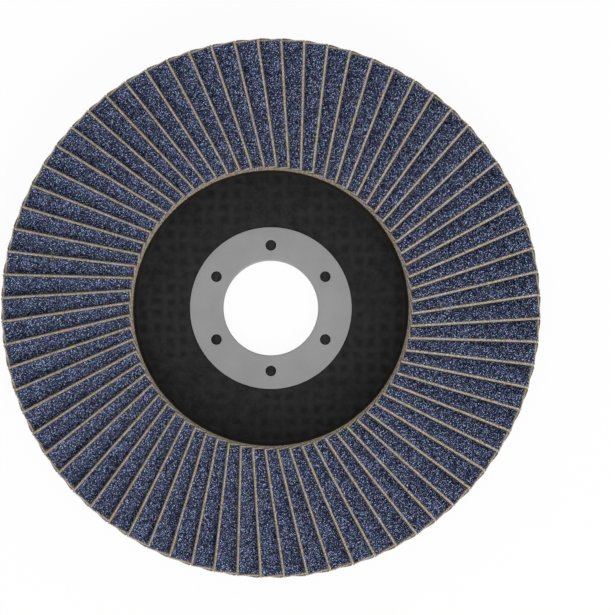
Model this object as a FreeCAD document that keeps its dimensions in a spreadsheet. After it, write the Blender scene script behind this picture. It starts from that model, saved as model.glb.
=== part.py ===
import FreeCAD, Part
import os
import Sketcher
from FreeCAD import Placement, Rotation, Vector

# A flap disc for an angle grinder: overlapping abrasive flaps, glued on a moulded plate
# with a steel bore ring.
# Lengths are in millimetres and angles in degrees. The origin lies on the bore axis in the back face
# of the hub, and +Z points out of the abrasive face. Clockwise means as seen from +Z.

doc = FreeCAD.newDocument("flap_disc")
sizes = doc.addObject("Spreadsheet::Sheet", "sizes")

driving_sizes = (
    ("disc_diameter", 125.0, "over the raised outer corners of the flaps"),
    ("bore_diameter", 22.23, "fits the spindle of an angle grinder"),
    ("flap_count", 72, "number of flaps round the disc"),
    ("first_flap_angle", 1.73, "first flap, clockwise from the +Y axis"),
    ("flap_length", 30.0, "along the radius"),
    ("flap_width", 13.0, "along the slope, from foot to raised edge"),
    ("flap_thickness", 1.0, "cloth with its grit"),
    ("flap_lead", 6.15, "raised edge ahead of the flap's own radius"),
    ("flap_gap", 0.14, "between two flaps at their inner ends"),
    ("grit_bevel", 0.22, "grit broken away along the cut edges"),
    ("flap_overhang", 6.0, "flaps beyond the edge of the plate"),
    ("plate_thickness", 2.6, "of the moulded plate, hub and rim alike"),
    ("hub_offset", 3.2, "back of the rim above the back of the hub"),
    ("shoulder_angle", 60.0, "slope between hub and rim"),
    ("rim_bevel", 0.6, "at the outer edge of the plate's back"),
    ("shoulder_bevel", 0.8, "where the shoulder meets the hub, front and back"),
    ("bed_thickness", 1.5, "of the adhesive on the plate"),
    ("bed_lip", 0.15, "adhesive showing inside the flaps"),
    ("bed_setback", 1.0, "adhesive short of the plate's edge"),
    ("shoulder_lip", 0.6, "foot of the shoulder inside the adhesive"),
    ("foot_rise", 0.3, "foot of a flap above the plate"),
    ("ring_diameter", 38.0, "flange of the bore ring"),
    ("ring_thickness", 0.9, "of the flange"),
    ("collar_wall", 0.8, "of the collar that lines the bore"),
    ("collar_setback", 0.2, "collar short of the back face"),
    ("ring_proud", 0.2, "flange above the hub"),
    ("bore_bevel", 0.3, "front edge of the bore"),
    ("ring_clearance", 0.15, "round the flange in its seat"),
    ("fit_clearance", 0.05, "round the collar and the resin keys"),
    ("key_count", 6, "holes in the flange, filled with resin"),
    ("key_diameter", 2.5, "of each hole"),
    ("key_circle", 29.5, "diameter through the holes"),
    ("key_setback", 0.25, "resin below the face of the flange"),
)

for row, (name, value, note) in enumerate(driving_sizes, start=1):
    sizes.set("A%d" % row, name)
    sizes.set("B%d" % row, str(value))
    sizes.set("C%d" % row, note)
    sizes.setAlias("B%d" % row, name)
doc.recompute()

# Radii and heights that follow from the driving sizes, written once and used in several sub-parts
flap_pitch = "(360 / sizes.flap_count)"
flap_outer = "sqrt((sizes.disc_diameter / 2) ^ 2 - sizes.flap_lead ^ 2)"
flap_inner = "(%s - sizes.flap_length)" % flap_outer
bed_inner = "(%s - sizes.bed_lip)" % flap_inner
hub_radius = "(%s - sizes.shoulder_lip)" % bed_inner
plate_radius = "(sizes.disc_diameter / 2 - sizes.flap_overhang)"
rim_front = "(sizes.hub_offset + sizes.plate_thickness)"
seat_height = "(sizes.plate_thickness + sizes.ring_proud - sizes.ring_thickness)"
collar_radius = "(sizes.bore_diameter / 2 + sizes.collar_wall)"
shoulder_run = "(sizes.hub_offset / tan(sizes.shoulder_angle * 1deg))"

# The flaps slope just enough for each one to lie on the next at its inner end.
# The distance between two neighbouring planes is least at the foot, where the chord is seen most askew.
foot_reach = "(sizes.flap_width - sizes.flap_lead)"
foot_skew = "cos(atan(%s / %s) + %s * 0.5deg)" % (foot_reach, flap_inner, flap_pitch)
plane_spacing = "(2 * %s * sin(%s * 0.5deg) * %s)" % (flap_inner, flap_pitch, foot_skew)
flap_tilt = "asin((sizes.flap_thickness + sizes.flap_gap) / %s)" % plane_spacing
raised_edge = "(sizes.flap_lead / cos(%s))" % flap_tilt
foot_edge = "(sizes.flap_width - %s)" % raised_edge
foot_height = "(%s + sizes.foot_rise)" % rim_front

same_place = 1e-4  # how near a circle lies to the radius and height it is found by


def new_body(label):
    body = doc.addObject("PartDesign::Body", label)
    body.Label = label
    return body


def origin_part(body, role):
    for feature in body.Origin.OriginFeatures:
        if feature.Role == role:
            return feature
    raise ValueError("no origin feature " + role)


def new_sketch(body, name, plane):
    sketch = body.newObject("Sketcher::SketchObject", name)
    sketch.AttachmentSupport = [(origin_part(body, plane), "")]
    sketch.MapMode = "FlatFace"
    return sketch


def bind_point(sketch, line, point, across, up):
    # An end of a line is held by its two distances from the sketch's origin
    for kind, expression in (("DistanceX", across), ("DistanceY", up)):
        if expression == "0":
            axis = -1 if kind == "DistanceY" else -2
            sketch.addConstraint(Sketcher.Constraint("PointOnObject", line, point, axis))
            continue
        place = sketch.getPoint(line, point)
        now = place.x if kind == "DistanceX" else place.y
        index = sketch.addConstraint(Sketcher.Constraint(kind, -1, 1, line, point, now))
        sketch.setExpression("Constraints[%d]" % index, expression)


def worked_out(expression):
    return float(sizes.evalExpression(expression))


def draw_outline(sketch, corners):
    # Closed outline of straight lines, each corner an (across, up) pair of expressions
    places = [Vector(worked_out(across), worked_out(up), 0) for across, up in corners]
    for index, place in enumerate(places):
        following = places[(index + 1) % len(places)]
        sketch.addGeometry(Part.LineSegment(place, following), False)
    for index in range(len(corners)):
        following = (index + 1) % len(corners)
        sketch.addConstraint(Sketcher.Constraint("Coincident", index, 2, following, 1))
    for index, (across, up) in enumerate(corners):
        bind_point(sketch, index, 1, across, up)


def revolve(body, name, sketch):
    turned = body.newObject("PartDesign::Revolution", name)
    turned.Profile = sketch
    turned.ReferenceAxis = (sketch, ["V_Axis"])
    turned.Angle = 360
    return turned


def bevel_circles(body, name, base, circles, size):
    # Bevels the circular edges of the base that lie at the given (radius, height) pairs
    doc.recompute()
    wanted = [(worked_out(across), worked_out(up)) for across, up in circles]
    edges = []
    for number, edge in enumerate(base.Shape.Edges, start=1):
        if not isinstance(edge.Curve, Part.Circle):
            continue
        for across, up in wanted:
            off_radius = abs(edge.Curve.Radius - across)
            off_height = abs(edge.Curve.Center.z - up)
            if max(off_radius, off_height) < same_place:
                edges.append("Edge%d" % number)
    bevel = body.newObject("PartDesign::Chamfer", name)
    bevel.Base = (base, edges)
    bevel.setExpression("Size", size)
    return bevel


def repeat_round_axis(body, name, original, count, angle):
    pattern = body.newObject("PartDesign::PolarPattern", name)
    pattern.Originals = [original]
    pattern.Axis = (origin_part(body, "Z_Axis"), [""])
    pattern.setExpression("Angle", angle)
    pattern.setExpression("Occurrences", count)
    body.Tip = pattern
    return pattern


def key_sketch(body, name, height, diameter):
    # One circle on the +Y axis, at the circle of the resin keys
    sketch = new_sketch(body, name, "XY_Plane")
    sketch.setExpression(".AttachmentOffset.Base.z", height)
    centre = Vector(0, worked_out("sizes.key_circle / 2"), 0)
    sketch.addGeometry(Part.Circle(centre, Vector(0, 0, 1), worked_out(diameter) / 2), False)
    sketch.addConstraint(Sketcher.Constraint("PointOnObject", 0, 3, -2))
    reach = sketch.addConstraint(Sketcher.Constraint("DistanceY", -1, 1, 0, 3, centre.y))
    sketch.setExpression("Constraints[%d]" % reach, "sizes.key_circle / 2")
    width = sketch.addConstraint(Sketcher.Constraint("Diameter", 0, worked_out(diameter)))
    sketch.setExpression("Constraints[%d]" % width, diameter)
    return sketch


# Backing plate: glass fibre in resin, with a sunken hub, a shoulder and a flat rim for the flaps
def make_backing_plate():
    body = new_body("backing_plate")
    bore = "(%s + sizes.fit_clearance)" % collar_radius
    seat = "(sizes.ring_diameter / 2 + sizes.ring_clearance)"
    hub_back = "(%s + sizes.plate_thickness * tan(sizes.shoulder_angle * 0.5deg))" % hub_radius
    rim_back = "(%s + %s)" % (hub_back, shoulder_run)
    rim_start = "(%s + %s)" % (hub_radius, shoulder_run)
    sketch = new_sketch(body, "plate_section", "XZ_Plane")
    draw_outline(sketch, (
        (bore, "0"),
        (hub_back, "0"),
        (rim_back, "sizes.hub_offset"),
        (plate_radius, "sizes.hub_offset"),
        (plate_radius, rim_front),
        (rim_start, rim_front),
        (hub_radius, "sizes.plate_thickness"),
        (seat, "sizes.plate_thickness"),
        (seat, seat_height),
        (bore, seat_height),
    ))
    revolve(body, "plate_turned", sketch)
    key = body.newObject("PartDesign::Pad", "resin_key")
    key_width = "sizes.key_diameter - 2 * sizes.fit_clearance"
    key.Profile = key_sketch(body, "key_outline", seat_height, key_width)
    key.setExpression("Length", "sizes.ring_thickness - sizes.key_setback")
    keys = repeat_round_axis(body, "resin_keys", key, "sizes.key_count", "360")
    shoulder = ((hub_radius, "sizes.plate_thickness"), (hub_back, "0"))
    bevelled = bevel_circles(body, "shoulder_bevel", keys, shoulder, "sizes.shoulder_bevel")
    rim = ((plate_radius, "sizes.hub_offset"),)
    body.Tip = bevel_circles(body, "rim_bevel", bevelled, rim, "sizes.rim_bevel")
    return body


# Bore ring: pressed steel, a flange with six holes and a collar that lines the bore of the plate
def make_bore_ring():
    body = new_body("bore_ring")
    bore = "sizes.bore_diameter / 2"
    flange = "sizes.ring_diameter / 2"
    front = "(sizes.plate_thickness + sizes.ring_proud)"
    sketch = new_sketch(body, "ring_section", "XZ_Plane")
    draw_outline(sketch, (
        (bore, "sizes.collar_setback"),
        (collar_radius, "sizes.collar_setback"),
        (collar_radius, seat_height),
        (flange, seat_height),
        (flange, front),
        (bore, front),
    ))
    revolve(body, "ring_turned", sketch)
    hole = body.newObject("PartDesign::Pocket", "key_hole")
    hole.Profile = key_sketch(body, "hole_outline", front, "sizes.key_diameter")
    hole.setExpression("Length", "2 * sizes.ring_thickness")
    holes = repeat_round_axis(body, "key_holes", hole, "sizes.key_count", "360")
    body.Tip = bevel_circles(body, "bore_bevel", holes, ((bore, front),), "sizes.bore_bevel")
    return body


# Flaps: rectangles of abrasive cloth, each raised along its clockwise edge over the next one.
# Two neighbours share a node, because the disc has more flaps than a set of parts may have files.
def make_flap_pair(number, angle, occurrences):
    body = new_body("flap_pair_%02d" % number)
    body.AllowCompound = True
    sketch = new_sketch(body, "flap_outline", "XY_Plane")
    slope = Rotation(Vector(1, 0, 0), -worked_out(flap_tilt))
    sketch.AttachmentOffset = Placement(Vector(0, 0, 0), slope)
    sketch.setExpression(".AttachmentOffset.Rotation.Angle", "360deg - %s" % flap_tilt)
    height = "%s + %s * sin(%s)" % (foot_height, foot_edge, flap_tilt)
    sketch.setExpression(".AttachmentOffset.Base.z", height)
    draw_outline(sketch, (
        (flap_inner, "(-%s)" % raised_edge),
        (flap_outer, "(-%s)" % raised_edge),
        (flap_outer, foot_edge),
        (flap_inner, foot_edge),
    ))
    cloth = body.newObject("PartDesign::Pad", "flap")
    cloth.Profile = sketch
    cloth.setExpression("Length", "sizes.flap_thickness")
    doc.recompute()
    bevel = body.newObject("PartDesign::Chamfer", "grit_bevel")
    bevel.Base = (cloth, [grit_face(cloth.Shape)])
    bevel.setExpression("Size", "sizes.grit_bevel")
    pair = repeat_round_axis(body, "flaps", cloth, str(occurrences), flap_pitch)
    pair.Originals = [cloth, bevel]
    body.setExpression(".Placement.Rotation.Angle", angle)
    return body


def grit_face(shape):
    # The side that faces up, so neither a cut edge nor the cloth back
    slopes = [face.normalAt(0, 0).z for face in shape.Faces]
    return "Face%d" % (slopes.index(max(slopes)) + 1)


# Adhesive bed: a cured ring of resin that the feet of the flaps stand in
def make_adhesive_bed(flap_pairs):
    ring = new_body("adhesive_ring")
    outside = "(%s - sizes.bed_setback)" % plate_radius
    front = "(%s + sizes.bed_thickness)" % rim_front
    rim_start = "(%s + %s)" % (hub_radius, shoulder_run)
    shoulder_height = "(sizes.plate_thickness + sizes.shoulder_lip * tan(sizes.shoulder_angle * 1deg))"
    sketch = new_sketch(ring, "bed_section", "XZ_Plane")
    draw_outline(sketch, (
        (bed_inner, shoulder_height),
        (rim_start, rim_front),
        (outside, rim_front),
        (outside, front),
        (bed_inner, front),
    ))
    revolve(ring, "bed_turned", sketch)
    pack = doc.addObject("Part::Compound", "flap_pack")
    pack.Links = flap_pairs
    bed = doc.addObject("Part::Cut", "adhesive_bed")
    bed.Label = "adhesive_bed"
    bed.Base = ring
    bed.Tool = pack
    return bed


# A flap is drawn along +X, a quarter turn clockwise from +Y, and a full turn keeps its angle positive
def make_flaps():
    flap_count = int(worked_out("sizes.flap_count"))
    pairs = []
    for first in range(0, flap_count, 2):
        occurrences = min(2, flap_count - first)
        last = first + occurrences - 1
        angle = "90deg + 360deg - (sizes.first_flap_angle + %d * %s) * 1deg" % (last, flap_pitch)
        pairs.append(make_flap_pair(first // 2 + 1, angle, occurrences))
    return pairs


def check(features):
    for feature in doc.Objects:
        if "Invalid" in feature.State or "Error" in feature.State:
            raise RuntimeError("%s did not build: %s" % (feature.Label, feature.State))
    for feature in features:
        shape = feature.Shape
        if shape.isNull() or not shape.isValid() or not shape.Solids:
            raise RuntimeError("%s has no valid solid" % feature.Label)


def main():
    flap_pairs = make_flaps()
    pieces = [make_backing_plate(), make_bore_ring(), make_adhesive_bed(flap_pairs)] + flap_pairs
    doc.recompute()
    check(pieces)
    os.makedirs("parts", exist_ok=True)
    for piece in pieces:
        piece.Shape.exportStep(os.path.join("parts", piece.Label + ".step"))
        print("%-16s %2d solids %10.1f mm3" % (piece.Label, len(piece.Shape.Solids), piece.Shape.Volume))


main()
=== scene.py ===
from math import ceil, cos, hypot, pi, radians, sin, tan

import bmesh
import bpy
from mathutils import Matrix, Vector, noise


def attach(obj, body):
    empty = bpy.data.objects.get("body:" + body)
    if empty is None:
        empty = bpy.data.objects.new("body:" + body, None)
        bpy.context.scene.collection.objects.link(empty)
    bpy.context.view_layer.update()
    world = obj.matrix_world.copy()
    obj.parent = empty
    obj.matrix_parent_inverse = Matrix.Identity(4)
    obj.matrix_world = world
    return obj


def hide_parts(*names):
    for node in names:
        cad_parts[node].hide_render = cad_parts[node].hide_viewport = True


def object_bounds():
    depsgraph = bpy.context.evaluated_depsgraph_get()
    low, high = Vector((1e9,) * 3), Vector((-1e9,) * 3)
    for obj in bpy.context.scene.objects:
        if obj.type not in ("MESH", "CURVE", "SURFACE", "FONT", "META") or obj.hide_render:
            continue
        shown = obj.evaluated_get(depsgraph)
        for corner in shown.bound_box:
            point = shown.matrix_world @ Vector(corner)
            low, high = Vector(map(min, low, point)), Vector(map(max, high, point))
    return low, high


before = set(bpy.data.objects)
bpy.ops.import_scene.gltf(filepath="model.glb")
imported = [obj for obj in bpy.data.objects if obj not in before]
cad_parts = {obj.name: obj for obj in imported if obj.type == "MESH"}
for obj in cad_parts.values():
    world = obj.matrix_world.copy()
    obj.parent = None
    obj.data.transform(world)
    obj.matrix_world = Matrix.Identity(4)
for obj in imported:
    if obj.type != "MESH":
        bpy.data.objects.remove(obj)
cadLow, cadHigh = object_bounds()
mm = 0.001  # the frame is in metres, the sizes below are in millimetres


def addObject(name, data):
    added = bpy.data.objects.new(name, data)
    bpy.context.scene.collection.objects.link(added)
    return added


# Small helpers for node trees

def addNode(tree, kind, inputs=None, **settings):
    node = tree.nodes.new(kind)
    for name, value in settings.items():
        setattr(node, name, value)
    for key, value in (inputs or {}).items():
        feed(tree, node.inputs[key], value)
    return node


def feed(tree, socket, value):
    if isinstance(value, bpy.types.NodeSocket):
        tree.links.new(value, socket)
    else:
        socket.default_value = value


def calc(tree, operation, first, second=0.0, third=0.0):
    return addNode(tree, "ShaderNodeMath", {0: first, 1: second, 2: third}, operation=operation).outputs[0]


def times(tree, first, second):
    return calc(tree, "MULTIPLY", first, second)


def between(tree, value, low, high, toLow=0.0, toHigh=1.0):
    # toLow to toHigh as the value goes from low to high, eased at both ends
    return addNode(tree, "ShaderNodeMapRange", {0: value, 1: low, 2: high, 3: toLow, 4: toHigh},
                   interpolation_type="SMOOTHSTEP").outputs[0]


def addNoise(tree, place, scale, detail, roughness=0.5, **settings):
    return addNode(tree, "ShaderNodeTexNoise", {"Vector": place, "Scale": scale, "Detail": detail,
                                                "Roughness": roughness}, **settings)


def split(tree, vector):
    return addNode(tree, "ShaderNodeSeparateXYZ", {0: vector}).outputs


def opaque(colour):
    # A written colour with its alpha; a socket passes through
    return colour if isinstance(colour, bpy.types.NodeSocket) else (*colour, 1)


def blendColours(tree, share, first, second, kind="MIX"):
    node = addNode(tree, "ShaderNodeMix", {0: share, 6: opaque(first), 7: opaque(second)},
                   data_type="RGBA", blend_type=kind)
    return node.outputs[2]


def multiplyColours(tree, first, second):
    return blendColours(tree, 1.0, first, second, "MULTIPLY")


def makeRamp(tree, share, stops):
    ramp = addNode(tree, "ShaderNodeValToRGB", {0: share})
    elements = ramp.color_ramp.elements
    elements.remove(elements[1])
    elements[0].position, elements[0].color = stops[0][0], opaque(stops[0][1])
    for position, colour in stops[1:]:
        elements.new(position).color = opaque(colour)
    return ramp.outputs[0]


def addVectors(tree, first, second):
    return addNode(tree, "ShaderNodeVectorMath", {0: first, 1: second}, operation="ADD").outputs[0]


def scaleVector(tree, vector, factor):
    return addNode(tree, "ShaderNodeVectorMath", {0: vector, "Scale": factor}, operation="SCALE").outputs[0]


def shiftFrom(tree, cloud, reach):
    # The colour of a noise, made a shift to all sides
    return scaleVector(tree, addVectors(tree, cloud.outputs["Color"], (-0.5, -0.5, -0.5)), reach)


def spreadOut(tree):
    # Lines the nodes up from left to right, in the order they were made
    columnWidth, rowHeight, rowCount = 220, 170, 6
    for number, node in enumerate(tree.nodes):
        node.location = (columnWidth * (number // rowCount), -rowHeight * (number % rowCount))


def newGroup(name, kind, inputs, outputs):
    tree = bpy.data.node_groups.new(name, kind)
    for label, socketKind, value in inputs:
        socket = tree.interface.new_socket(name=label, in_out="INPUT", socket_type=socketKind)
        if value is not None:
            socket.default_value = value
    for label, socketKind in outputs:
        tree.interface.new_socket(name=label, in_out="OUTPUT", socket_type=socketKind)
    return tree, addNode(tree, "NodeGroupInput"), addNode(tree, "NodeGroupOutput")


# Shared shader groups: each puts out tones and heights that change over the surface

def makeSpeckleGroup():
    # Two sizes of mottling, for resin, steel, glue and grit alike
    tree, given, out = newGroup("speckle", "ShaderNodeTree", (
        ("Place", "NodeSocketVector", None),
        ("Coarse", "NodeSocketFloat", 0.3),
        ("Fine", "NodeSocketFloat", 4.0),
        ("Coarse Share", "NodeSocketFloat", 0.5),
    ), (("Tone", "NodeSocketFloat"), ("Height", "NodeSocketFloat")))
    place = given.outputs["Place"]
    coarse = addNoise(tree, place, given.outputs["Coarse"], 3.0, 0.55).outputs["Fac"]
    fine = addNoise(tree, place, given.outputs["Fine"], 2.0, 0.6).outputs["Fac"]
    mixed = addNode(tree, "ShaderNodeMix", {0: given.outputs["Coarse Share"], 2: fine, 3: coarse})
    feed(tree, out.inputs["Tone"], between(tree, mixed.outputs[0], 0.25, 0.75))
    feed(tree, out.inputs["Height"], fine)
    spreadOut(tree)
    return tree


def makeWeaveGroup():
    # A plain weave in X and Y: threads go over and under each other at the given pitch
    tree, given, out = newGroup("weave", "ShaderNodeTree", (
        ("Place", "NodeSocketVector", None),
        ("Pitch", "NodeSocketFloat", 1.0),
        ("Waviness", "NodeSocketFloat", 0.1),
        ("Waviness Scale", "NodeSocketFloat", 0.4),
        ("Crossing", "NodeSocketFloat", 0.35),
    ), (("Height", "NodeSocketFloat"),))
    place, crossing = given.outputs["Place"], given.outputs["Crossing"]
    stray = addNoise(tree, place, given.outputs["Waviness Scale"], 1.0)
    bent = addVectors(tree, place, shiftFrom(tree, stray, given.outputs["Waviness"]))
    turn = calc(tree, "DIVIDE", pi, given.outputs["Pitch"])
    waves = [calc(tree, "COSINE", times(tree, part, turn)) for part in split(tree, bent)[:2]]
    warp, weft = [times(tree, wave, wave) for wave in waves]

    # At every crossing one thread lies higher and the other lower, by turns
    over = between(tree, times(tree, waves[0], waves[1]), -0.35, 0.35, -1.0, 1.0)
    tilt = times(tree, over, crossing)
    level = calc(tree, "SUBTRACT", 1.0, crossing)
    warp = times(tree, warp, calc(tree, "ADD", level, tilt))
    weft = times(tree, weft, calc(tree, "SUBTRACT", level, tilt))
    feed(tree, out.inputs["Height"], calc(tree, "SMOOTH_MAX", warp, weft, 0.2))
    spreadOut(tree)
    return tree


speckleGroup = makeSpeckleGroup()
weaveGroup = makeWeaveGroup()


def useGroup(tree, group, **values):
    # CoarseShare feeds the input that is named Coarse Share, and so on
    node = addNode(tree, "ShaderNodeGroup", node_tree=group)
    for name, value in values.items():
        label = "".join(" " + letter if letter.isupper() else letter for letter in name).strip()
        feed(tree, node.inputs[label], value)
    return node


def newMaterial(name, roughness, specular, metallic=0.0):
    material = bpy.data.materials.new(name)
    material.use_nodes = True
    tree = material.node_tree
    shader = tree.nodes["Principled BSDF"]
    shader.inputs["Roughness"].default_value = roughness
    shader.inputs["Specular IOR Level"].default_value = specular
    shader.inputs["Metallic"].default_value = metallic
    return material, tree, shader


def objectPlace(tree):
    # Object coordinates in millimetres
    where = addNode(tree, "ShaderNodeTexCoord").outputs["Object"]
    return addNode(tree, "ShaderNodeMapping", {"Vector": where, "Scale": (1 / mm,) * 3}).outputs[0]


def finishShader(tree, shader, colour, height, depth):
    # The colour, and a relief of some depth in millimetres
    bump = addNode(tree, "ShaderNodeBump", {"Height": height, "Distance": depth * mm})
    feed(tree, shader.inputs["Base Color"], colour)
    feed(tree, shader.inputs["Normal"], bump.outputs[0])
    spreadOut(tree)


# Abrasive flaps: cloth with a blue coat, sharp grains in it, and cut edges where the yarns end

flap = dict(
    length=30.1,  # along the radius
    width=13.0,  # from the raised edge down to the foot
    tilt=24.8,  # degrees
    lead=6.27,  # raised edge ahead of the flap's own radius
    yaw=0.21,  # degrees that the raised edge turns back towards that radius
    inner=32.13,  # from the axis to the inner end
    footHeight=6.1,
    clothThickness=0.72,
    coatThickness=0.12,
    cutBevel=0.12,  # cloth rounded over along the cut edges
    backLip=0.04,  # resin-soaked back of the cloth stands out at the inner end
    backLipHeight=0.2,
    innerMargin=0.30,  # bare cloth at the inner end
    outerMargin=0.20,  # the same at the outer end, by the raised edge
    lowerOuterMargin=0.31,  # and from lowerStart down
    lowerStart=3.0,
    cornerOut=(-0.26, -0.16, -0.08, -0.02),  # the outer corner of the raised edge is worn a little round
    edgeMargin=0.20,  # bare cloth along the raised edge
    resinLine=0.20,  # brown resin that shows between the bare cloth and the coat
    outerResinLine=0.26,  # the same at the outer end
    beadedOuterEnd=5.6,  # yarn ends show this far down the outer end
    # the outer end runs out towards the foot: how far down the slope, how far out
    heel=((1.2, 0.01), (2.2, 0.03), (4.2, 0.08), (6.0, 0.12), (8.0, 0.32), (10.0, 0.56), (11.4, 0.62),
          (12.0, 0.25), (13.0, -0.9)),
    coatColumns=9,  # faces along the coat
    count=72,
    first=1.73,  # degrees clockwise from +Y
    turnJitter=0.02,  # degrees
    slideJitter=0.03,
    wobble=0.03, wobbleScale=0.14,
    noiseStep=7.3,  # sets the noise of one flap apart from that of the next
)
flap["pitch"] = 360 / flap["count"]

grit = dict(
    spacing=0.224,  # least distance between two grains
    density=6e7,  # grains to a square metre, before the spacing thins them out
    size=0.285,
    sizeSpread=0.30,
    sunk=0.14,
    underlap=0.35, underlapGrowth=1.03,  # grains go on this far under the next flap's raised edge
    # sides, width at the top and width at the bottom of each kind of chip
    kinds=((3, 0.0, 0.62), (4, 0.0, 0.58), (3, 0.32, 0.5), (4, 0.0, 0.54)),
    chipHeight=0.9,
    thrown=(0.22, 0.22, 0.2),  # a chip's corners are thrown about this far
    tip=0.7,  # radians that a grain leans to any side
    leastStretch=(0.78, 0.78, 0.7), mostStretch=(1.3, 1.3, 1.25),
    coat=((0.001, 0.001, 0.003), (0.058, 0.077, 0.162)),  # dark to light, as in all such pairs
    # colours of single grains, the few dark ones first
    tones=((0.0, (0.001, 0.002, 0.007)), (0.15, (0.006, 0.010, 0.034)), (0.22, (0.318, 0.388, 0.635)),
           (0.6, (0.465, 0.550, 0.840)), (0.85, (0.535, 0.610, 0.835)), (1.0, (0.595, 0.655, 0.825))),
    tintShare=0.20,  # how far the tints of single grains stray
    veil=((0.5, 0.5, 0.55), (1.3, 1.3, 1.27)),
    lean=((0.91, 1.04, 0.98), (1.07, 0.96, 1.05)),  # patches lean to teal or to violet
    overhangShadeTone=(0.93, 1.08),  # painted shade: darker by the next flap's edge, lighter up to the raised edge
    dustAndLiftReach=(0.15, 0.95),  # a lighter brown lies this near the next flap's raised edge: resin and dust, and painted light that lifts the shade there
    coatDustAndLift=((0.020, 0.014, 0.012), (0.310, 0.218, 0.154)),
    grainDustAndLift=((0.060, 0.040, 0.030), (0.350, 0.236, 0.170)), grainDustAndLiftShare=0.75,
)

yarn = dict(
    pitch=0.86, along=0.37, out=0.09, up=0.26, sizeSpread=0.2, stray=0.04,
    sunk=0.03,  # the middle of a row lies this far inside the cut edge
    edgeMargin=0.2, endMargin=0.3,  # from a corner to the first yarn end
    # colours of the cut edge: straw, grey, tan, straw and pinkish tan
    hues=((0.37, (0.41, 0.415, 0.235)), (0.44, (0.43, 0.415, 0.425)), (0.5, (0.44, 0.405, 0.365)),
          (0.56, (0.465, 0.405, 0.245)), (0.63, (0.49, 0.375, 0.405))),
    fibre=((0.08, 0.065, 0.045), (1.76, 1.75, 1.75)),
    gapShadeTone=0.88,  # painted shade: how dark it is between two yarn ends
    # brown of the resin, also used for painted shade on the cut ends towards the foot
    resinAndShade=(0.055, 0.036, 0.024),
    back=((0.075, 0.046, 0.026), (0.30, 0.23, 0.15)),
    backVeil=((0.72, 0.70, 0.66), (1.14, 1.12, 1.08)),
    resin=((0.002, 0.002, 0.004), (0.195, 0.153, 0.143)),
)

seeds = dict(chip=11, bead=31, tone=77, slideAlong=5, slideDown=6, turn=8)


def coverLine(sizes):
    # Where the next flap's raised edge lies on a flap: how far down at the inner end, and how much
    # further for each millimetre outwards
    turn, slope = radians(sizes["pitch"]), cos(radians(sizes["tilt"]))
    near = sizes["lead"] - sizes["lead"] / cos(turn) + sizes["inner"] * tan(turn)
    return near / slope, tan(turn) / slope


def clothPlace(tree):
    # Millimetres within the flap: along it, down its slope, and up through it. The second one differs
    # from flap to flap, so that noise read with it does not repeat.
    within = addNode(tree, "ShaderNodeAttribute", attribute_name="clothPlace").outputs["Vector"]
    number = addNode(tree, "ShaderNodeAttribute", attribute_name="flapNumber").outputs["Fac"]
    apart = addNode(tree, "ShaderNodeCombineXYZ", {2: times(tree, number, flap["noiseStep"])})
    return within, addVectors(tree, within, apart.outputs[0])


def coverDistance(tree, within):
    # How far up the slope a place is from the next flap's raised edge
    near, growth = coverLine(flap)
    along, down, up = split(tree, within)
    return calc(tree, "SUBTRACT", calc(tree, "MULTIPLY_ADD", along, growth, near), down)


def nearCover(tree, distance):
    # 1 in the corner under that edge, 0 a little way off
    return between(tree, distance, *grit["dustAndLiftReach"], 1.0, 0.0)


def makeCoatMaterial():
    # Size coat between the grains: navy resin
    material, tree, shader = newMaterial("navyCoat", 0.6, 0.12)
    within, place = clothPlace(tree)
    mottle = useGroup(tree, speckleGroup, Place=place, Coarse=0.35, Fine=3.2, CoarseShare=0.1)
    tone = mottle.outputs["Tone"]
    colour = blendColours(tree, between(tree, tone, 0.25, 0.95), *grit["coat"])
    # A lighter brown in the corner under the next flap's edge: partly resin and dust, partly painted light
    # lifting the shade there
    dustAndLift = blendColours(tree, tone, *grit["coatDustAndLift"])
    corner = nearCover(tree, coverDistance(tree, within))
    finishShader(tree, shader, blendColours(tree, corner, colour, dustAndLift), mottle.outputs["Height"], 0.12)
    return material


def makeGrainMaterial():
    # Crystals: each has a tone and a tint of its own, with painted shade near the next flap's overhanging
    # edge
    material, tree, shader = newMaterial("blueGrain", 0.36, 0.11)
    within, place = clothPlace(tree)
    tone = addNode(tree, "ShaderNodeAttribute", attribute_name="grainTone").outputs["Fac"]
    dice = addNode(tree, "ShaderNodeTexWhiteNoise", {"W": times(tree, tone, 531.0)},
                   noise_dimensions="1D")
    tint = blendColours(tree, grit["tintShare"], (1, 1, 1), scaleVector(tree, dice.outputs["Color"], 2.0))
    patches = addNoise(tree, place, 0.55, 2.0)
    lean = blendColours(tree, between(tree, patches.outputs["Fac"], 0.38, 0.62), *grit["lean"])
    mottle = useGroup(tree, speckleGroup, Place=place, Coarse=0.5, Fine=6.0, CoarseShare=0.08)
    veil = blendColours(tree, mottle.outputs["Tone"], *grit["veil"])
    colour = makeRamp(tree, tone, grit["tones"])
    for layer in (tint, lean, veil):
        colour = multiplyColours(tree, colour, layer)

    # Painted shade: grains are darker near the next flap's overhanging edge and a little brighter up towards
    # their own raised edge
    distance = coverDistance(tree, within)
    free = scaleVector(tree, colour, between(tree, distance, 0.3, 4.0, *grit["overhangShadeTone"]))
    # A lighter brown in the corner under the next flap's edge: partly resin and dust, partly painted light
    # lifting the shade there
    dustAndLiftShare = times(tree, nearCover(tree, distance), grit["grainDustAndLiftShare"])
    dustAndLift = blendColours(tree, tone, *grit["grainDustAndLift"])
    feed(tree, shader.inputs["Roughness"], between(tree, mottle.outputs["Height"], 0.3, 0.7, 0.25, 0.5))
    finishShader(tree, shader, blendColours(tree, dustAndLiftShare, free, dustAndLift), mottle.outputs["Height"], 0.03)
    return material


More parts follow.
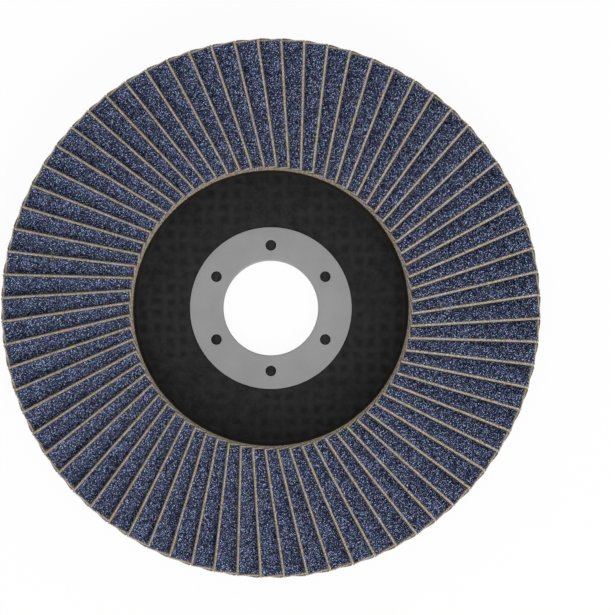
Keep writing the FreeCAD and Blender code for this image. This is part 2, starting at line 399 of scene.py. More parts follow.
def makeCutClothMaterial():
    # Cut edge of the cloth: resin-stiffened yarn ends
    material, tree, shader = newMaterial("cutCloth", 0.8, 0.1)
    within, place = clothPlace(tree)
    drift = addNoise(tree, place, 0.19, 4.0, 0.6)
    hue = makeRamp(tree, drift.outputs["Fac"], yarn["hues"])
    fibre = useGroup(tree, speckleGroup, Place=place, Coarse=2.4, Fine=4.8, CoarseShare=0.2)
    veil = blendColours(tree, fibre.outputs["Tone"], *yarn["fibre"])

    # Yarn ends stand side by side, with painted shade in the gap between each two
    along, down, up = split(tree, within)
    phase = calc(tree, "SUBTRACT", calc(tree, "ADD", along, down), 0.35)
    shifted = calc(tree, "MULTIPLY_ADD", fibre.outputs["Height"], 0.3, phase)
    wave = calc(tree, "COSINE", times(tree, shifted, 2 * pi / yarn["pitch"]))
    gapShaded = scaleVector(tree, multiplyColours(tree, hue, veil),
                       between(tree, wave, -1.0, 0.0, yarn["gapShadeTone"], 1.0))

    # Brown resin at the back of the cloth over both ends, the inner end a little darker brown, and painted
    # shade in blotches towards the foot
    innerEnd = between(tree, along, 0.15, 0.6, 1.0, 0.0)
    outerEnd = between(tree, along, flap["length"] - 0.3, flap["length"])
    atEnd = calc(tree, "MAXIMUM", innerEnd, times(tree, outerEnd, 0.55))
    low = between(tree, up, 0.10, flap["backLipHeight"] + 0.08, 1.0, 0.0)
    back = times(tree, low, calc(tree, "MULTIPLY_ADD", atEnd, 0.75, 0.15))
    blotch = calc(tree, "MULTIPLY_ADD", fibre.outputs["Tone"], -0.6, 0.85)
    # Painted shade: further down the slope the cut ends lie deeper under the flap above, so they are
    # darkened, in blotches, towards the brown
    footShade = times(tree, between(tree, down, 4.0, 9.0), blotch)
    footShade = times(tree, footShade, calc(tree, "MULTIPLY_ADD", outerEnd, -0.2, 1.0))
    ends = times(tree, innerEnd, 0.24)
    resinAndShade = calc(tree, "MAXIMUM", ends, calc(tree, "MAXIMUM", back, footShade))
    colour = blendColours(tree, resinAndShade, gapShaded, yarn["resinAndShade"])
    finishShader(tree, shader, colour, fibre.outputs["Height"], 0.06)
    return material


def makeClothBackMaterial():
    # Back of the cloth: woven yarns under a thin brown resin
    material, tree, shader = newMaterial("clothBack", 0.62, 0.2)
    place = clothPlace(tree)[1]
    woven = useGroup(tree, weaveGroup, Place=place, Pitch=yarn["pitch"], Waviness=0.12, WavinessScale=1.2)
    fibre = useGroup(tree, speckleGroup, Place=place, Coarse=0.25, Fine=7.0, CoarseShare=0.55)
    colour = blendColours(tree, woven.outputs["Height"], *yarn["back"])
    veil = blendColours(tree, fibre.outputs["Tone"], *yarn["backVeil"])
    finishShader(tree, shader, multiplyColours(tree, colour, veil), woven.outputs["Height"], 0.10)
    return material


def makeResinLineMaterial():
    # Resin that ties the grains to the cloth, seen as a dark line along the cut edges
    material, tree, shader = newMaterial("resinLine", 0.55, 0.15)
    place = clothPlace(tree)[1]
    mottle = useGroup(tree, speckleGroup, Place=place, Coarse=2.0, Fine=3.6, CoarseShare=0.35)
    blots = between(tree, mottle.outputs["Tone"], 0.25, 0.75)
    finishShader(tree, shader, blendColours(tree, blots, *yarn["resin"]), mottle.outputs["Height"], 0.08)
    return material


coatMaterial = makeCoatMaterial()
grainMaterial = makeGrainMaterial()
cutClothMaterial = makeCutClothMaterial()
clothBackMaterial = makeClothBackMaterial()
resinLineMaterial = makeResinLineMaterial()
coatSlot, clothSlot, backSlot, resinSlot = range(4)  # on the blank


def makeFlapBlank(sizes):
    # Flat blank, raised edge along X and foot towards +Y: coat on top, bare cloth at the margins
    length, bevel, clothTop = sizes["length"], sizes["cutBevel"], sizes["clothThickness"]
    starts = [sizes["innerMargin"], sizes["innerMargin"] + sizes["resinLine"]]
    ends = [length - sizes["outerMargin"] - sizes["outerResinLine"], length - sizes["outerMargin"]]
    steps = sizes["coatColumns"]
    coat = [starts[-1] + (ends[0] - starts[-1]) * step / steps for step in range(1, steps)]
    columns = [0, bevel] + starts + coat + ends + [length - bevel, length]
    rows = [0, bevel, sizes["edgeMargin"], sizes["edgeMargin"] + sizes["resinLine"]]
    rows += [down for down, out in sizes["heel"]]
    outwards = list(sizes["cornerOut"]) + [out for down, out in sizes["heel"]]
    marginGrowth = sizes["lowerOuterMargin"] - sizes["outerMargin"]
    lastColumn, lastRow = len(columns) - 1, len(rows) - 1
    coatStart = 3  # the edge, the bevel and the margin come before the coat
    resinEnd, coatEnd = lastColumn - coatStart + 1, lastColumn - coatStart

    def place(i, j, height, lip=0):
        along = columns[i] + (outwards[j] if i >= coatEnd else 0)
        if i in (coatEnd, resinEnd):
            along -= marginGrowth * min(1, rows[j] / sizes["lowerStart"])
        if i == 0:
            along -= lip
        return (along * mm, rows[j] * mm, height * mm)

    def topHeight(i, j):
        if i in (0, lastColumn) or j == 0:
            return clothTop - bevel
        if i < coatStart or i > coatEnd or j < coatStart:
            return clothTop
        return clothTop + sizes["coatThickness"]

    def topSlot(i, j):
        if i < coatStart - 1 or i >= resinEnd or j < coatStart - 1:
            return clothSlot
        return resinSlot if i in (coatStart - 1, coatEnd) or j == coatStart - 1 else coatSlot

    mesh = bmesh.new()
    top = [[mesh.verts.new(place(i, j, topHeight(i, j))) for j in range(len(rows))]
           for i in range(len(columns))]
    bottom = [[mesh.verts.new(place(i, j, 0, sizes["backLip"])) for j in range(len(rows))]
              for i in range(len(columns))]
    for i in range(lastColumn):
        for j in range(lastRow):
            face = mesh.faces.new((top[i][j], top[i + 1][j], top[i + 1][j + 1], top[i][j + 1]))
            face.material_index = topSlot(i, j)
            face = mesh.faces.new((bottom[i][j], bottom[i][j + 1], bottom[i + 1][j + 1], bottom[i + 1][j]))
            face.material_index = backSlot

    # Cut edges, once round: up from the lip at the back, then straight to the bevel
    border = [(i, 0) for i in range(lastColumn)] + [(lastColumn, j) for j in range(lastRow)]
    border += [(i, lastRow) for i in range(lastColumn, 0, -1)] + [(0, j) for j in range(lastRow, 0, -1)]
    lipTop = [mesh.verts.new(place(i, j, sizes["backLipHeight"])) for i, j in border]
    for number, (i, j) in enumerate(border):
        following = (number + 1) % len(border)
        p, q = border[following]
        for face in ((bottom[i][j], bottom[p][q], lipTop[following], lipTop[number]),
                     (lipTop[number], lipTop[following], top[p][q], top[i][j])):
            mesh.faces.new(face).material_index = clothSlot
    blank = bpy.data.meshes.new("flapBlank")
    mesh.to_mesh(blank)
    mesh.free()
    for material in (coatMaterial, cutClothMaterial, clothBackMaterial, resinLineMaterial):
        blank.materials.append(material)
    return blank


def randomNumber(tree, low, high, seed, identity=None):
    node = addNode(tree, "FunctionNodeRandomValue", {2: low, 3: high, 8: seed}, data_type="FLOAT")
    if identity is not None:
        feed(tree, node.inputs[7], identity)
    return node.outputs[1]


def randomVector(tree, low, high, seed):
    node = addNode(tree, "FunctionNodeRandomValue", {0: low, 1: high, 8: seed}, data_type="FLOAT_VECTOR")
    return node.outputs[0]


def storeValue(tree, geometry, name, value, kind, domain):
    node = addNode(tree, "GeometryNodeStoreNamedAttribute", {"Geometry": geometry, "Name": name},
                   data_type=kind, domain=domain)
    feed(tree, [socket for socket in node.inputs if socket.name == "Value" and socket.enabled][0], value)
    return node.outputs[0]


def shiftShape(tree, geometry, offset):
    return addNode(tree, "GeometryNodeSetPosition", {"Geometry": geometry, "Offset": offset}).outputs[0]


def realMesh(tree, geometry, material):
    real = addNode(tree, "GeometryNodeRealizeInstances", {0: geometry})
    return addNode(tree, "GeometryNodeSetMaterial", {"Geometry": real.outputs[0],
                                                     "Material": material}).outputs[0]


def crystalShape(tree, sides, top, bottom, seed):
    # An irregular chip about one unit across: a cone or a stub of one, corners thrown about
    cone = addNode(tree, "GeometryNodeMeshCone", {"Vertices": sides, "Radius Top": top,
                                                  "Radius Bottom": bottom, "Depth": grit["chipHeight"]})
    thrown = Vector(grit["thrown"])
    moved = shiftShape(tree, cone.outputs["Mesh"], randomVector(tree, -thrown, thrown, seed))
    return addNode(tree, "GeometryNodeConvexHull", {0: moved}).outputs[0]


def growGrains(tree, given, sizes):
    # Grains on the coat, from its raised edge to just under the neighbour's
    seed = given.outputs["Seed"]
    slot = addNode(tree, "GeometryNodeInputMaterialIndex").outputs[0]
    onCoat = addNode(tree, "FunctionNodeCompare", {2: slot, 3: coatSlot}, data_type="INT", operation="EQUAL")
    spread = addNode(tree, "GeometryNodeDistributePointsOnFaces",
                     {"Mesh": given.outputs["Blank"], "Selection": onCoat.outputs[0], "Seed": seed,
                      "Distance Min": given.outputs["Grain Spacing"], "Density Max": grit["density"]},
                     distribute_method="POISSON")
    along, down, up = split(tree, addNode(tree, "GeometryNodeInputPosition").outputs[0])
    near, growth = coverLine(sizes)
    limit = calc(tree, "MULTIPLY_ADD", along, growth * grit["underlapGrowth"], (near + grit["underlap"]) * mm)
    covered = addNode(tree, "FunctionNodeCompare", {0: down, 1: limit},
                      data_type="FLOAT", operation="GREATER_THAN")
    shown = addNode(tree, "GeometryNodeDeleteGeometry",
                    {"Geometry": spread.outputs["Points"], "Selection": covered.outputs[0]}, domain="POINT")
    sunk = shiftShape(tree, shown.outputs[0], (0, 0, -grit["sunk"] * mm))

    chips = addNode(tree, "GeometryNodeGeometryToInstance")
    for number, (sides, top, bottom) in enumerate(grit["kinds"]):
        tree.links.new(crystalShape(tree, sides, top, bottom, seeds["chip"] + number), chips.inputs[0])
    kind = addNode(tree, "FunctionNodeRandomValue", {4: 0, 5: len(grit["kinds"]) - 1, 8: seed},
                   data_type="INT")
    tip = grit["tip"]
    turned = randomVector(tree, (-tip, -tip, 0.0), (tip, tip, 2 * pi), seed)
    stretch = randomVector(tree, grit["leastStretch"], grit["mostStretch"], seed)
    size = times(tree, given.outputs["Grain Size"],
                randomNumber(tree, 1 - grit["sizeSpread"], 1 + grit["sizeSpread"], seed))
    grains = addNode(tree, "GeometryNodeInstanceOnPoints",
                     {"Points": sunk, "Instance": chips.outputs[0], "Pick Instance": True,
                      "Instance Index": kind.outputs[2], "Rotation": turned,
                      "Scale": scaleVector(tree, stretch, size)})
    tone = randomNumber(tree, 0.0, 1.0, seeds["tone"])
    toned = storeValue(tree, grains.outputs[0], "grainTone", tone, "FLOAT", "INSTANCE")
    return realMesh(tree, toned, grainMaterial)


def rowYarnEnds(tree, given, sizes):
    # Yarn ends along the raised edge, the inner end and the outer end
    length, width, middle = sizes["length"], sizes["width"], sizes["clothThickness"] * 0.5
    sunk, edge, end = yarn["sunk"], yarn["edgeMargin"], yarn["endMargin"]
    rows = (  # where it starts, where it goes, how long it is, how its yarn ends are turned
        ((edge, sunk, middle), (1, 0, 0), length - 2 * edge, 0.0),
        ((sunk, end, middle), (0, 1, 0), width - 2 * end, 0.5 * pi),
        ((length - sunk, end, middle), (0, 1, 0), sizes["beadedOuterEnd"] - end, 0.5 * pi),
    )
    bead = addNode(tree, "GeometryNodeMeshIcoSphere", {"Radius": 1.0, "Subdivisions": 1}).outputs[0]
    bead = addNode(tree, "GeometryNodeSetShadeSmooth", {"Geometry": bead}).outputs[0]
    size = Vector((yarn["along"], yarn["out"], yarn["up"])) * mm
    least, most = size * (1 - yarn["sizeSpread"]), size * (1 + yarn["sizeSpread"])
    stray = Vector((1, 1, 1)) * yarn["stray"] * mm
    joined = addNode(tree, "GeometryNodeJoinGeometry")
    for number, (start, direction, run, turned) in enumerate(rows):
        first = Vector(start)
        line = addNode(tree, "GeometryNodeMeshLine",
                       {"Start Location": first * mm, "Resolution": given.outputs["Yarn Pitch"],
                        "Offset": (first + Vector(direction) * run) * mm},
                       mode="END_POINTS", count_mode="RESOLUTION")
        shift = randomVector(tree, -stray, stray, given.outputs["Seed"])
        loose = shiftShape(tree, line.outputs[0], shift)
        ends = addNode(tree, "GeometryNodeInstanceOnPoints",
                       {"Points": loose, "Instance": bead, "Rotation": (0, 0, turned),
                        "Scale": randomVector(tree, least, most, seeds["bead"] + number)})
        tree.links.new(ends.outputs[0], joined.inputs[0])
    return realMesh(tree, joined.outputs[0], cutClothMaterial)


def makeFlapTree(sizes):
    # One flap from its blank: grains, yarn ends, a little wobble, then its place on the disc
    tree, given, out = newGroup("flap", "GeometryNodeTree", (
        ("Blank", "NodeSocketGeometry", None),
        ("Grain Spacing", "NodeSocketFloat", grit["spacing"] * mm),
        ("Grain Size", "NodeSocketFloat", grit["size"] * mm),
        ("Yarn Pitch", "NodeSocketFloat", yarn["pitch"] * mm),
        ("Turn", "NodeSocketFloat", 0.0),
        ("Seed", "NodeSocketInt", 0),
    ), (("Flap", "NodeSocketGeometry"),))
    seed = given.outputs["Seed"]
    whole = addNode(tree, "GeometryNodeJoinGeometry")
    for geometry in (rowYarnEnds(tree, given, sizes), growGrains(tree, given, sizes), given.outputs["Blank"]):
        tree.links.new(geometry, whole.inputs[0])

    # The materials read the flap's number and its own millimetres
    ownPlace = scaleVector(tree, addNode(tree, "GeometryNodeInputPosition").outputs[0], 1 / mm)
    numbered = storeValue(tree, whole.outputs[0], "flapNumber", seed, "FLOAT", "POINT")
    placed = storeValue(tree, numbered, "clothPlace", ownPlace, "FLOAT_VECTOR", "POINT")

    # Wobble and slide in the flap's own plane, then down the slope and round the disc
    stray = addNoise(tree, ownPlace, sizes["wobbleScale"], 1.0, noise_dimensions="4D")
    feed(tree, stray.inputs["W"], times(tree, seed, sizes["noiseStep"]))
    noiseReach = 0.25  # a noise keeps about this near its middle
    wobble = shiftFrom(tree, stray, sizes["wobble"] / noiseReach * mm)
    wavy = shiftShape(tree, placed, wobble)
    reach = sizes["slideJitter"] * mm
    slide = addNode(tree, "ShaderNodeCombineXYZ",
                    {0: randomNumber(tree, -0.5 * reach, 0.5 * reach, seeds["slideAlong"], seed),
                     1: randomNumber(tree, -reach, reach, seeds["slideDown"], seed)})
    slid = addNode(tree, "GeometryNodeTransform", {"Geometry": wavy, "Translation": slide.outputs[0]})
    tilt = radians(sizes["tilt"])
    raisedHeight = sizes["footHeight"] + sizes["width"] * sin(tilt)
    sloped = addNode(tree, "GeometryNodeTransform",
                     {"Geometry": slid.outputs[0], "Rotation": (-tilt, 0, radians(sizes["yaw"])),
                      "Translation": Vector((sizes["inner"], -sizes["lead"], raisedHeight)) * mm})
    jitter = radians(sizes["turnJitter"])
    turn = calc(tree, "ADD", given.outputs["Turn"], randomNumber(tree, -jitter, jitter, seeds["turn"], seed))
    turned = addNode(tree, "GeometryNodeTransform",
                     {"Geometry": sloped.outputs[0],
                      "Rotation": addNode(tree, "ShaderNodeCombineXYZ", {2: turn}).outputs[0]})
    feed(tree, out.inputs["Flap"], turned.outputs[0])
    spreadOut(tree)
    return tree


def makePairTree(sizes, flapTree):
    tree, given, out = newGroup("flapPair", "GeometryNodeTree", (
        ("Blank", "NodeSocketGeometry", None),
        ("First Turn", "NodeSocketFloat", 0.0),
        ("Pitch", "NodeSocketFloat", radians(sizes["pitch"])),
        ("First Seed", "NodeSocketInt", 0),
    ), (("Flaps", "NodeSocketGeometry"),))
    both = addNode(tree, "GeometryNodeJoinGeometry")
    for number in (0, 1):
        turn = calc(tree, "MULTIPLY_ADD", given.outputs["Pitch"], -number, given.outputs["First Turn"])
        seed = calc(tree, "ADD", given.outputs["First Seed"], number)
        one = addNode(tree, "GeometryNodeGroup",
                      {"Blank": given.outputs["Blank"], "Turn": turn, "Seed": seed}, node_tree=flapTree)
        tree.links.new(one.outputs[0], both.inputs[0])
    real = addNode(tree, "GeometryNodeRealizeInstances", {0: both.outputs[0]})
    feed(tree, out.inputs["Flaps"], real.outputs[0])
    spreadOut(tree)
    return tree


def setInput(modifier, name, value):
    for item in modifier.node_group.interface.items_tree:
        if item.in_out == "INPUT" and item.name == name:
            modifier[item.identifier] = value


def plainMesh(source, name):
    # The evaluated object as a plain mesh in an object of its own
    bpy.context.view_layer.update()
    graph = bpy.context.evaluated_depsgraph_get()
    mesh = bpy.data.meshes.new_from_object(source.evaluated_get(graph), preserve_all_data_layers=True,
                                           depsgraph=graph)
    mesh.name = name
    piece = addObject(name, mesh)
    bpy.data.objects.remove(source)
    return piece


def makeFlaps(sizes):
    blank = makeFlapBlank(sizes)
    pairTree = makePairTree(sizes, makeFlapTree(sizes))
    pieces = []
    for number in range(sizes["count"] // 2):
        holder = addObject("flapHolder", blank)
        modifier = holder.modifiers.new("flaps", "NODES")
        modifier.node_group = pairTree
        setInput(modifier, "First Turn", radians(90 - sizes["first"] - 2 * number * sizes["pitch"]))
        setInput(modifier, "First Seed", 2 * number)
        piece = plainMesh(holder, "abrasiveFlaps_%02d" % (number + 1))
        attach(piece, "root")
        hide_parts("flap_pair_%02d" % (number + 1))
        pieces.append(piece)
    return pieces


flapPieces = makeFlaps(flap)
print("flaps:", len(flapPieces), "pieces,", sum(len(p.data.polygons) for p in flapPieces), "faces")


# Turned pieces: a section of (radius, height) corners, rounded, and swept round the axis

def roundedSection(corners, longestRun):
    # Corners are (radius, height, rounding); straight runs are cut into steps of longestRun at most
    roundSteps, sideShare = 4, 0.45  # a rounding takes no more than this share of a side
    points = []
    for index, (across, up, rounding) in enumerate(corners):
        here = Vector((across, up))
        before = Vector(corners[index - 1][:2]) - here
        after = Vector(corners[(index + 1) % len(corners)][:2]) - here
        if rounding == 0:
            points.append(here)
            continue
        half = before.angle(after) / 2
        reach = min(rounding / tan(half), sideShare * before.length, sideShare * after.length)
        first, last = here + before.normalized() * reach, here + after.normalized() * reach
        for step in range(roundSteps + 1):
            share = step / roundSteps
            points.append(first.lerp(here, share).lerp(here.lerp(last, share), share))
    section = []
    for index, point in enumerate(points):
        following = points[(index + 1) % len(points)]
        section.append(point)
        pieces = ceil((following - point).length / longestRun)
        section += [point.lerp(following, step / pieces) for step in range(1, pieces)]
    return section


def turnSection(name, section, segments, relief=None, stray=0.0, strayScale=1.0):
    # A closed ring of faces; relief(place) gives an upward shift in millimetres
    mesh = bmesh.new()
    rings = []
    for segment in range(segments):
        angle = 2 * pi * segment / segments
        ring = []
        for point in section:
            place = Vector((point.x * cos(angle), point.x * sin(angle), point.y))
            if stray:
                place += noise.noise_vector(place * strayScale) * stray
            if relief:
                place.z += relief(place)
            ring.append(mesh.verts.new(place * mm))
        rings.append(ring)
    for segment in range(segments):
        ring, following = rings[segment], rings[(segment + 1) % segments]
        for index in range(len(section)):
            second = (index + 1) % len(section)
            mesh.faces.new((ring[index], following[index], following[second], ring[second]))
    bmesh.ops.recalc_face_normals(mesh, faces=mesh.faces)
    for face in mesh.faces:
        face.smooth = True
    data = bpy.data.meshes.new(name)
    mesh.to_mesh(data)
    mesh.free()
    return addObject(name, data)


def roundPlaces(count, circle):
    # Centres of equal holes or keys, the first one towards +Y
    for number in range(count):
        angle = 2 * pi * number / count + pi / 2
        yield Vector((cos(angle), sin(angle), 0)) * circle


# Backing plate: black resin on a glass mesh whose squares print through

plate = dict(
    bore=11.965, seat=19.06, seatHeight=1.9, front=2.6, hubFront=31.45, hubBack=32.95,
    rimFrontStart=33.30, rimBackStart=34.80, rimFront=5.8, rimBack=3.2, edge=56.5,
    boreRound=0.12, shoulderRound=0.3, rimBackRound=0.6, edgeRound=0.35, rimFrontRound=0.4,
    hubRound=0.12, seatRound=0.10,
    segments=360, step=0.6,
    keyCount=6, keyCircle=14.75, keyRadius=1.2, keyTop=2.55, keyDome=0.05, keyCorners=28,
    meshPitch=3.15, meshDepth=0.042, crossing=0.1,
    depthSpread=1.1, depthScale=0.12,  # the print is deeper in some places
    stray=0.9, strayScale=0.19,  # its threads don't run straight
    lumpDepth=0.04, lumpScale=0.35,
    printFade=2.0, frontGap=(0.3, 0.4), backGap=(0.5, 1.0), rimGap=(0.8, 0.8),  # it keeps off the edges
    resin=((0.0040, 0.0042, 0.0044), (0.0240, 0.0242, 0.0240)),
)


def meshPrint(place):
    # How far the glass mesh stands out of the resin at a place on the plate
    stray = noise.noise_vector(Vector((place.x, place.y, 0)) * plate["strayScale"]) * plate["stray"]
    x, y = place.x + stray.x, place.y + stray.y
    warp = cos(pi * x / plate["meshPitch"])
    weft = cos(pi * y / plate["meshPitch"])
    tilt = plate["crossing"] * max(-1.0, min(1.0, 2.2 * warp * weft))
    level = 1 - plate["crossing"]
    raised = max(warp * warp * (level + tilt), weft * weft * (level - tilt))
    lumps = noise.noise(Vector((place.x, place.y, 3.0)) * plate["lumpScale"])
    spread = noise.noise(Vector((place.x, place.y, 9.0)) * plate["depthScale"])
    depth = plate["meshDepth"] * (1 + plate["depthSpread"] * spread)
    return depth * (raised - 0.5) + plate["lumpDepth"] * lumps


def plateRelief(place):
    reach, fade = hypot(place.x, place.y), plate["printFade"]

    def window(inside, outside, gap):
        # 1 in the middle of a face, 0 near its edges
        rise, fall = (reach - (inside + gap[0])) / fade, (outside - gap[1] - reach) / fade
        return max(0.0, min(1.0, rise)) * max(0.0, min(1.0, fall))

    def isAt(height):
        return abs(place.z - height) < 0.01

    if isAt(plate["front"]):
        return window(plate["seat"], plate["hubFront"], plate["frontGap"]) * meshPrint(place)
    if isAt(0):
        # The back rests on its ridges, so the print only goes inwards
        shape = meshPrint(place) - 0.5 * plate["meshDepth"] - plate["lumpDepth"]
        return -window(plate["bore"], plate["hubBack"], plate["backGap"]) * shape
    if isAt(plate["rimBack"]):
        return -window(plate["rimBackStart"], plate["edge"], plate["rimGap"]) * meshPrint(place)
    return 0.0


def makeFibreResinMaterial():
    material, tree, shader = newMaterial("fibreResin", 0.45, 0.12)
    place = objectPlace(tree)
    woven = useGroup(tree, weaveGroup, Place=place, Pitch=plate["meshPitch"], Waviness=1.9,
                     WavinessScale=0.26, Crossing=0.12)
    mottle = useGroup(tree, speckleGroup, Place=place, Coarse=0.42, Fine=1.8, CoarseShare=0.6)
    # The print is plain in some places and nearly gone in others
    patches = addNoise(tree, place, 0.10, 1.0)
    share = between(tree, patches.outputs["Fac"], 0.35, 0.65, 0.1, 0.65)
    tone = addNode(tree, "ShaderNodeMix", {0: share, 2: mottle.outputs["Tone"],
                                           3: woven.outputs["Height"]}).outputs[0]
    feed(tree, shader.inputs["Roughness"], between(tree, tone, 0.1, 0.9, 0.58, 0.44))
    finishShader(tree, shader, blendColours(tree, tone, *plate["resin"]), mottle.outputs["Height"], 0.03)
    return material


def addKey(body, centre, sizes):
    # Resin that filled a hole of the ring: a short plug with a slightly domed top
    corners, top = sizes["keyCorners"], sizes["keyTop"]
    profile = ((1.0, sizes["seatHeight"] - 0.1), (1.0, top - 0.08), (0.95, top - 0.02), (0.8, top),
               (0.4, top + 0.7 * sizes["keyDome"]))  # share of the radius, height
    rings = []
    for share, height in profile:
        ring = []
        for corner in range(corners):
            angle = 2 * pi * corner / corners
            across = Vector((cos(angle), sin(angle), 0)) * share * sizes["keyRadius"]
            ring.append(body.verts.new((centre + across + Vector((0, 0, height))) * mm))
        rings.append(ring)
    crown = body.verts.new((centre + Vector((0, 0, top + sizes["keyDome"]))) * mm)
    faces = [body.faces.new(reversed(rings[0]))]
    for lower, upper in zip(rings, rings[1:]):
        for corner in range(corners):
            following = (corner + 1) % corners
            faces.append(body.faces.new((lower[corner], lower[following], upper[following], upper[corner])))
    for corner in range(corners):
        faces.append(body.faces.new((rings[-1][corner], rings[-1][(corner + 1) % corners], crown)))
    for face in faces[1:]:
        face.smooth = True


def makePlate(sizes):
    corners = (
        (sizes["bore"], 0.0, sizes["boreRound"]),
        (sizes["hubBack"], 0.0, sizes["shoulderRound"]),
        (sizes["rimBackStart"], sizes["rimBack"], sizes["shoulderRound"]),
        (sizes["edge"], sizes["rimBack"], sizes["rimBackRound"]),
        (sizes["edge"], sizes["rimFront"], sizes["edgeRound"]),
        (sizes["rimFrontStart"], sizes["rimFront"], sizes["rimFrontRound"]),
        (sizes["hubFront"], sizes["front"], sizes["hubRound"]),
        (sizes["seat"], sizes["front"], sizes["seatRound"]),
        (sizes["seat"], sizes["seatHeight"], 0.0),
        (sizes["bore"], sizes["seatHeight"], 0.0),
    )
    section = roundedSection(corners, sizes["step"])
    piece = turnSection("backingPlate", section, sizes["segments"], plateRelief)
    body = bmesh.new()
    body.from_mesh(piece.data)
    for centre in roundPlaces(sizes["keyCount"], sizes["keyCircle"]):
        addKey(body, centre, sizes)
    body.to_mesh(piece.data)
    body.free()
    piece.data.materials.append(makeFibreResinMaterial())
    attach(piece, "root")
    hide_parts("backing_plate")
    return piece


platePiece = makePlate(plate)
print("plate:", len(platePiece.data.polygons), "faces")


# Bore ring: pressed steel with a dull zinc finish

ring = dict(
    bore=11.115, collar=11.915, collarBack=0.2, flange=19.0, back=1.9, front=2.8,
    boreRound=0.35, edgeRound=0.12, flangeBackRound=0.05, collarInnerRound=0.1, collarOuterRound=0.15,
    segments=256, step=1.2,
    holeCount=6, holeCircle=14.75, holeRadius=1.25, holeRound=0.07, holeCorners=40,
    punchHeight=4.0, punchMiddle=2.3,
    steel=((0.272, 0.272, 0.272), (0.314, 0.314, 0.314)),
)


def makeDullSteelMaterial():
    material, tree, shader = newMaterial("dullSteel", 0.5, 0.3, 0.35)
    grain = useGroup(tree, speckleGroup, Place=objectPlace(tree), Coarse=0.12, Fine=3.5, CoarseShare=0.65)
    tone = grain.outputs["Tone"]
    feed(tree, shader.inputs["Roughness"], between(tree, tone, 0.0, 1.0, 0.52, 0.42))
    finishShader(tree, shader, blendColours(tree, tone, *ring["steel"]), grain.outputs["Height"], 0.006)
    return material


def makePunch(sizes):
    # One cylinder for each hole of the flange
    punches = bmesh.new()
    radius = sizes["holeRadius"] * mm
    for centre in roundPlaces(sizes["holeCount"], sizes["holeCircle"]):
        made = bmesh.ops.create_cone(punches, cap_ends=True, segments=sizes["holeCorners"], radius1=radius,
                                     radius2=radius, depth=sizes["punchHeight"] * mm)
        centre.z = sizes["punchMiddle"]
        bmesh.ops.translate(punches, verts=made["verts"], vec=centre * mm)
    data = bpy.data.meshes.new("punches")
    punches.to_mesh(data)
    punches.free()
    return addObject("punches", data)


def makeRing(sizes):
    corners = (
        (sizes["bore"], sizes["collarBack"], sizes["collarInnerRound"]),
        (sizes["collar"], sizes["collarBack"], sizes["collarOuterRound"]),
        (sizes["collar"], sizes["back"], 0.0),
        (sizes["flange"], sizes["back"], sizes["flangeBackRound"]),
        (sizes["flange"], sizes["front"], sizes["edgeRound"]),
        (sizes["bore"], sizes["front"], sizes["boreRound"]),
    )
    blank = turnSection("ringBlank", roundedSection(corners, sizes["step"]), sizes["segments"])
    punch = makePunch(sizes)
    cut = blank.modifiers.new("holes", "BOOLEAN")
    cut.object, cut.operation, cut.solver = punch, "DIFFERENCE", "EXACT"
    rim = blank.modifiers.new("rims", "BEVEL")
    rim.width, rim.segments, rim.limit_method = sizes["holeRound"] * mm, 2, "ANGLE"
    rim.angle_limit = radians(60)
    piece = plainMesh(blank, "boreRing")
    bpy.data.objects.remove(punch)
    piece.data.materials.clear()
    piece.data.materials.append(makeDullSteelMaterial())
    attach(piece, "root")
    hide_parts("bore_ring")
    return piece


ringPiece = makeRing(ring)
print("ring:", len(ringPiece.data.polygons), "faces")


# Adhesive bed: dark brown resin that the feet of the flaps stand in

bed = dict(
    corners=(  # radius, height, rounding
        (31.98, 2.62, 0.0),  # on the hub
        (33.30, 5.8, 0.0),  # where the rim starts
        (55.4, 5.8, 0.0),
        (55.5, 6.3, 0.3),
        (54.8, 7.2, 0.5),
        (32.37, 7.2, 0.3),  # under the inner ends of the flaps
        (32.07, 4.91, 0.5),
        (31.68, 3.12, 0.25),  # bead along the hub
    ),
    step=6.0, segments=432,
    stray=0.16, strayScale=0.9,
    glue=((0.010, 0.007, 0.005), (0.034, 0.024, 0.016)),
)


def makeAdhesiveMaterial():
    material, tree, shader = newMaterial("brownAdhesive", 0.45, 0.15)
    mottle = useGroup(tree, speckleGroup, Place=objectPlace(tree), Coarse=0.4, Fine=2.2, CoarseShare=0.5)
    colour = blendColours(tree, mottle.outputs["Tone"], *bed["glue"])
    finishShader(tree, shader, colour, mottle.outputs["Height"], 0.08)
    return material


def makeBed(sizes):
    section = roundedSection(sizes["corners"], sizes["step"])
    piece = turnSection("adhesiveBed", section, sizes["segments"], stray=sizes["stray"],
                        strayScale=sizes["strayScale"])
    piece.data.materials.append(makeAdhesiveMaterial())
    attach(piece, "root")
    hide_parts("adhesive_bed")
    return piece


bedPiece = makeBed(bed)
print("bed:", len(bedPiece.data.polygons), "faces")


# Floor, light and camera

studio = dict(
    floorSize=4.0,  # metres
    floorGap=0.02, floorTone=0.92, floorWhite=0.94,
    domeStrength=0.78,
    keyTurn=18.0,  # degrees from -Y towards +X
    keyHeight=36.0, keyDistance=1.3, keyWidth=0.85, keyPower=7.4,
)
view = dict(
    frameWidth=615, centreX=270.35, centreY=307.57,  # pixels of the photograph
    scale=4.32,  # pixels to a millimetre at the tops of the flaps
    height=700.0, sensor=36.0,
    clip=(0.01, 20.0),  # metres
)


def seenMask(tree):
    # 1 for what the camera sees, straight or in a mirror or through glass
    path = addNode(tree, "ShaderNodeLightPath")
    seen = calc(tree, "MAXIMUM", path.outputs["Is Camera Ray"], path.outputs["Is Glossy Ray"])
    return calc(tree, "MAXIMUM", seen, path.outputs["Is Transmission Ray"])


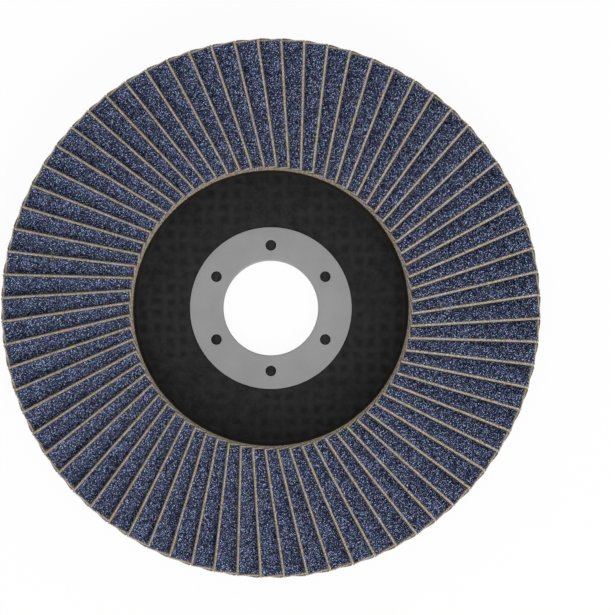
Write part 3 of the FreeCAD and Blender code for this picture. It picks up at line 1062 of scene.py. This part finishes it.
def makeFloor():
    mesh = bpy.data.meshes.new("floor")
    half = studio["floorSize"] / 2
    low = cadLow.z - studio["floorGap"] * mm
    mesh.from_pydata([(-half, -half, low), (half, -half, low), (half, half, low), (-half, half, low)],
                     [], [(0, 1, 2, 3)])
    floor = addObject("floor", mesh)
    material, tree, shader = newMaterial("paleFloor", 0.9, 0.1)
    shader.inputs["Base Color"].default_value = opaque((studio["floorTone"],) * 3)
    white = addNode(tree, "ShaderNodeEmission", {"Color": (1, 1, 1, 1), "Strength": 1.0})
    share = times(tree, seenMask(tree), studio["floorWhite"])
    both = addNode(tree, "ShaderNodeMixShader", {0: share, 1: shader.outputs[0], 2: white.outputs[0]})
    feed(tree, tree.nodes["Material Output"].inputs["Surface"], both.outputs[0])
    spreadOut(tree)
    mesh.materials.append(material)


def makeLight():
    world = bpy.data.worlds.new("studio")
    bpy.context.scene.world = world
    world.use_nodes = True
    tree = world.node_tree
    background = tree.nodes["Background"]
    background.inputs["Color"].default_value = (1, 1, 1, 1)
    feed(tree, background.inputs["Strength"],
         between(tree, seenMask(tree), 0.0, 1.0, studio["domeStrength"], 1.0))
    lamp = bpy.data.lights.new("key", "AREA")
    lamp.shape, lamp.size, lamp.energy = "SQUARE", studio["keyWidth"], studio["keyPower"]
    key = addObject("key", lamp)
    turn, height = radians(studio["keyTurn"]), radians(studio["keyHeight"])
    towards = Vector((sin(turn) * cos(height), -cos(turn) * cos(height),
                      sin(height)))
    key.location = towards * studio["keyDistance"]
    key.rotation_euler = towards.to_track_quat("Z", "Y").to_euler()


def makeCamera():
    camera = addObject("camera", bpy.data.cameras.new("camera"))
    lens = camera.data
    lens.sensor_width = view["sensor"]
    seenWidth = view["frameWidth"] / view["scale"]
    lens.lens = view["sensor"] * view["height"] / seenWidth
    middle = (view["frameWidth"] - 1) / 2
    lens.shift_x = (middle - view["centreX"]) / view["frameWidth"]
    lens.shift_y = (view["centreY"] - middle) / view["frameWidth"]
    lens.clip_start, lens.clip_end = view["clip"]
    camera.location = (0, 0, cadHigh.z + view["height"] * mm)
    bpy.context.scene.camera = camera


makeFloor()
makeLight()
makeCamera()
bpy.context.scene.view_settings.view_transform = "Standard"
print("floor, light and camera set")
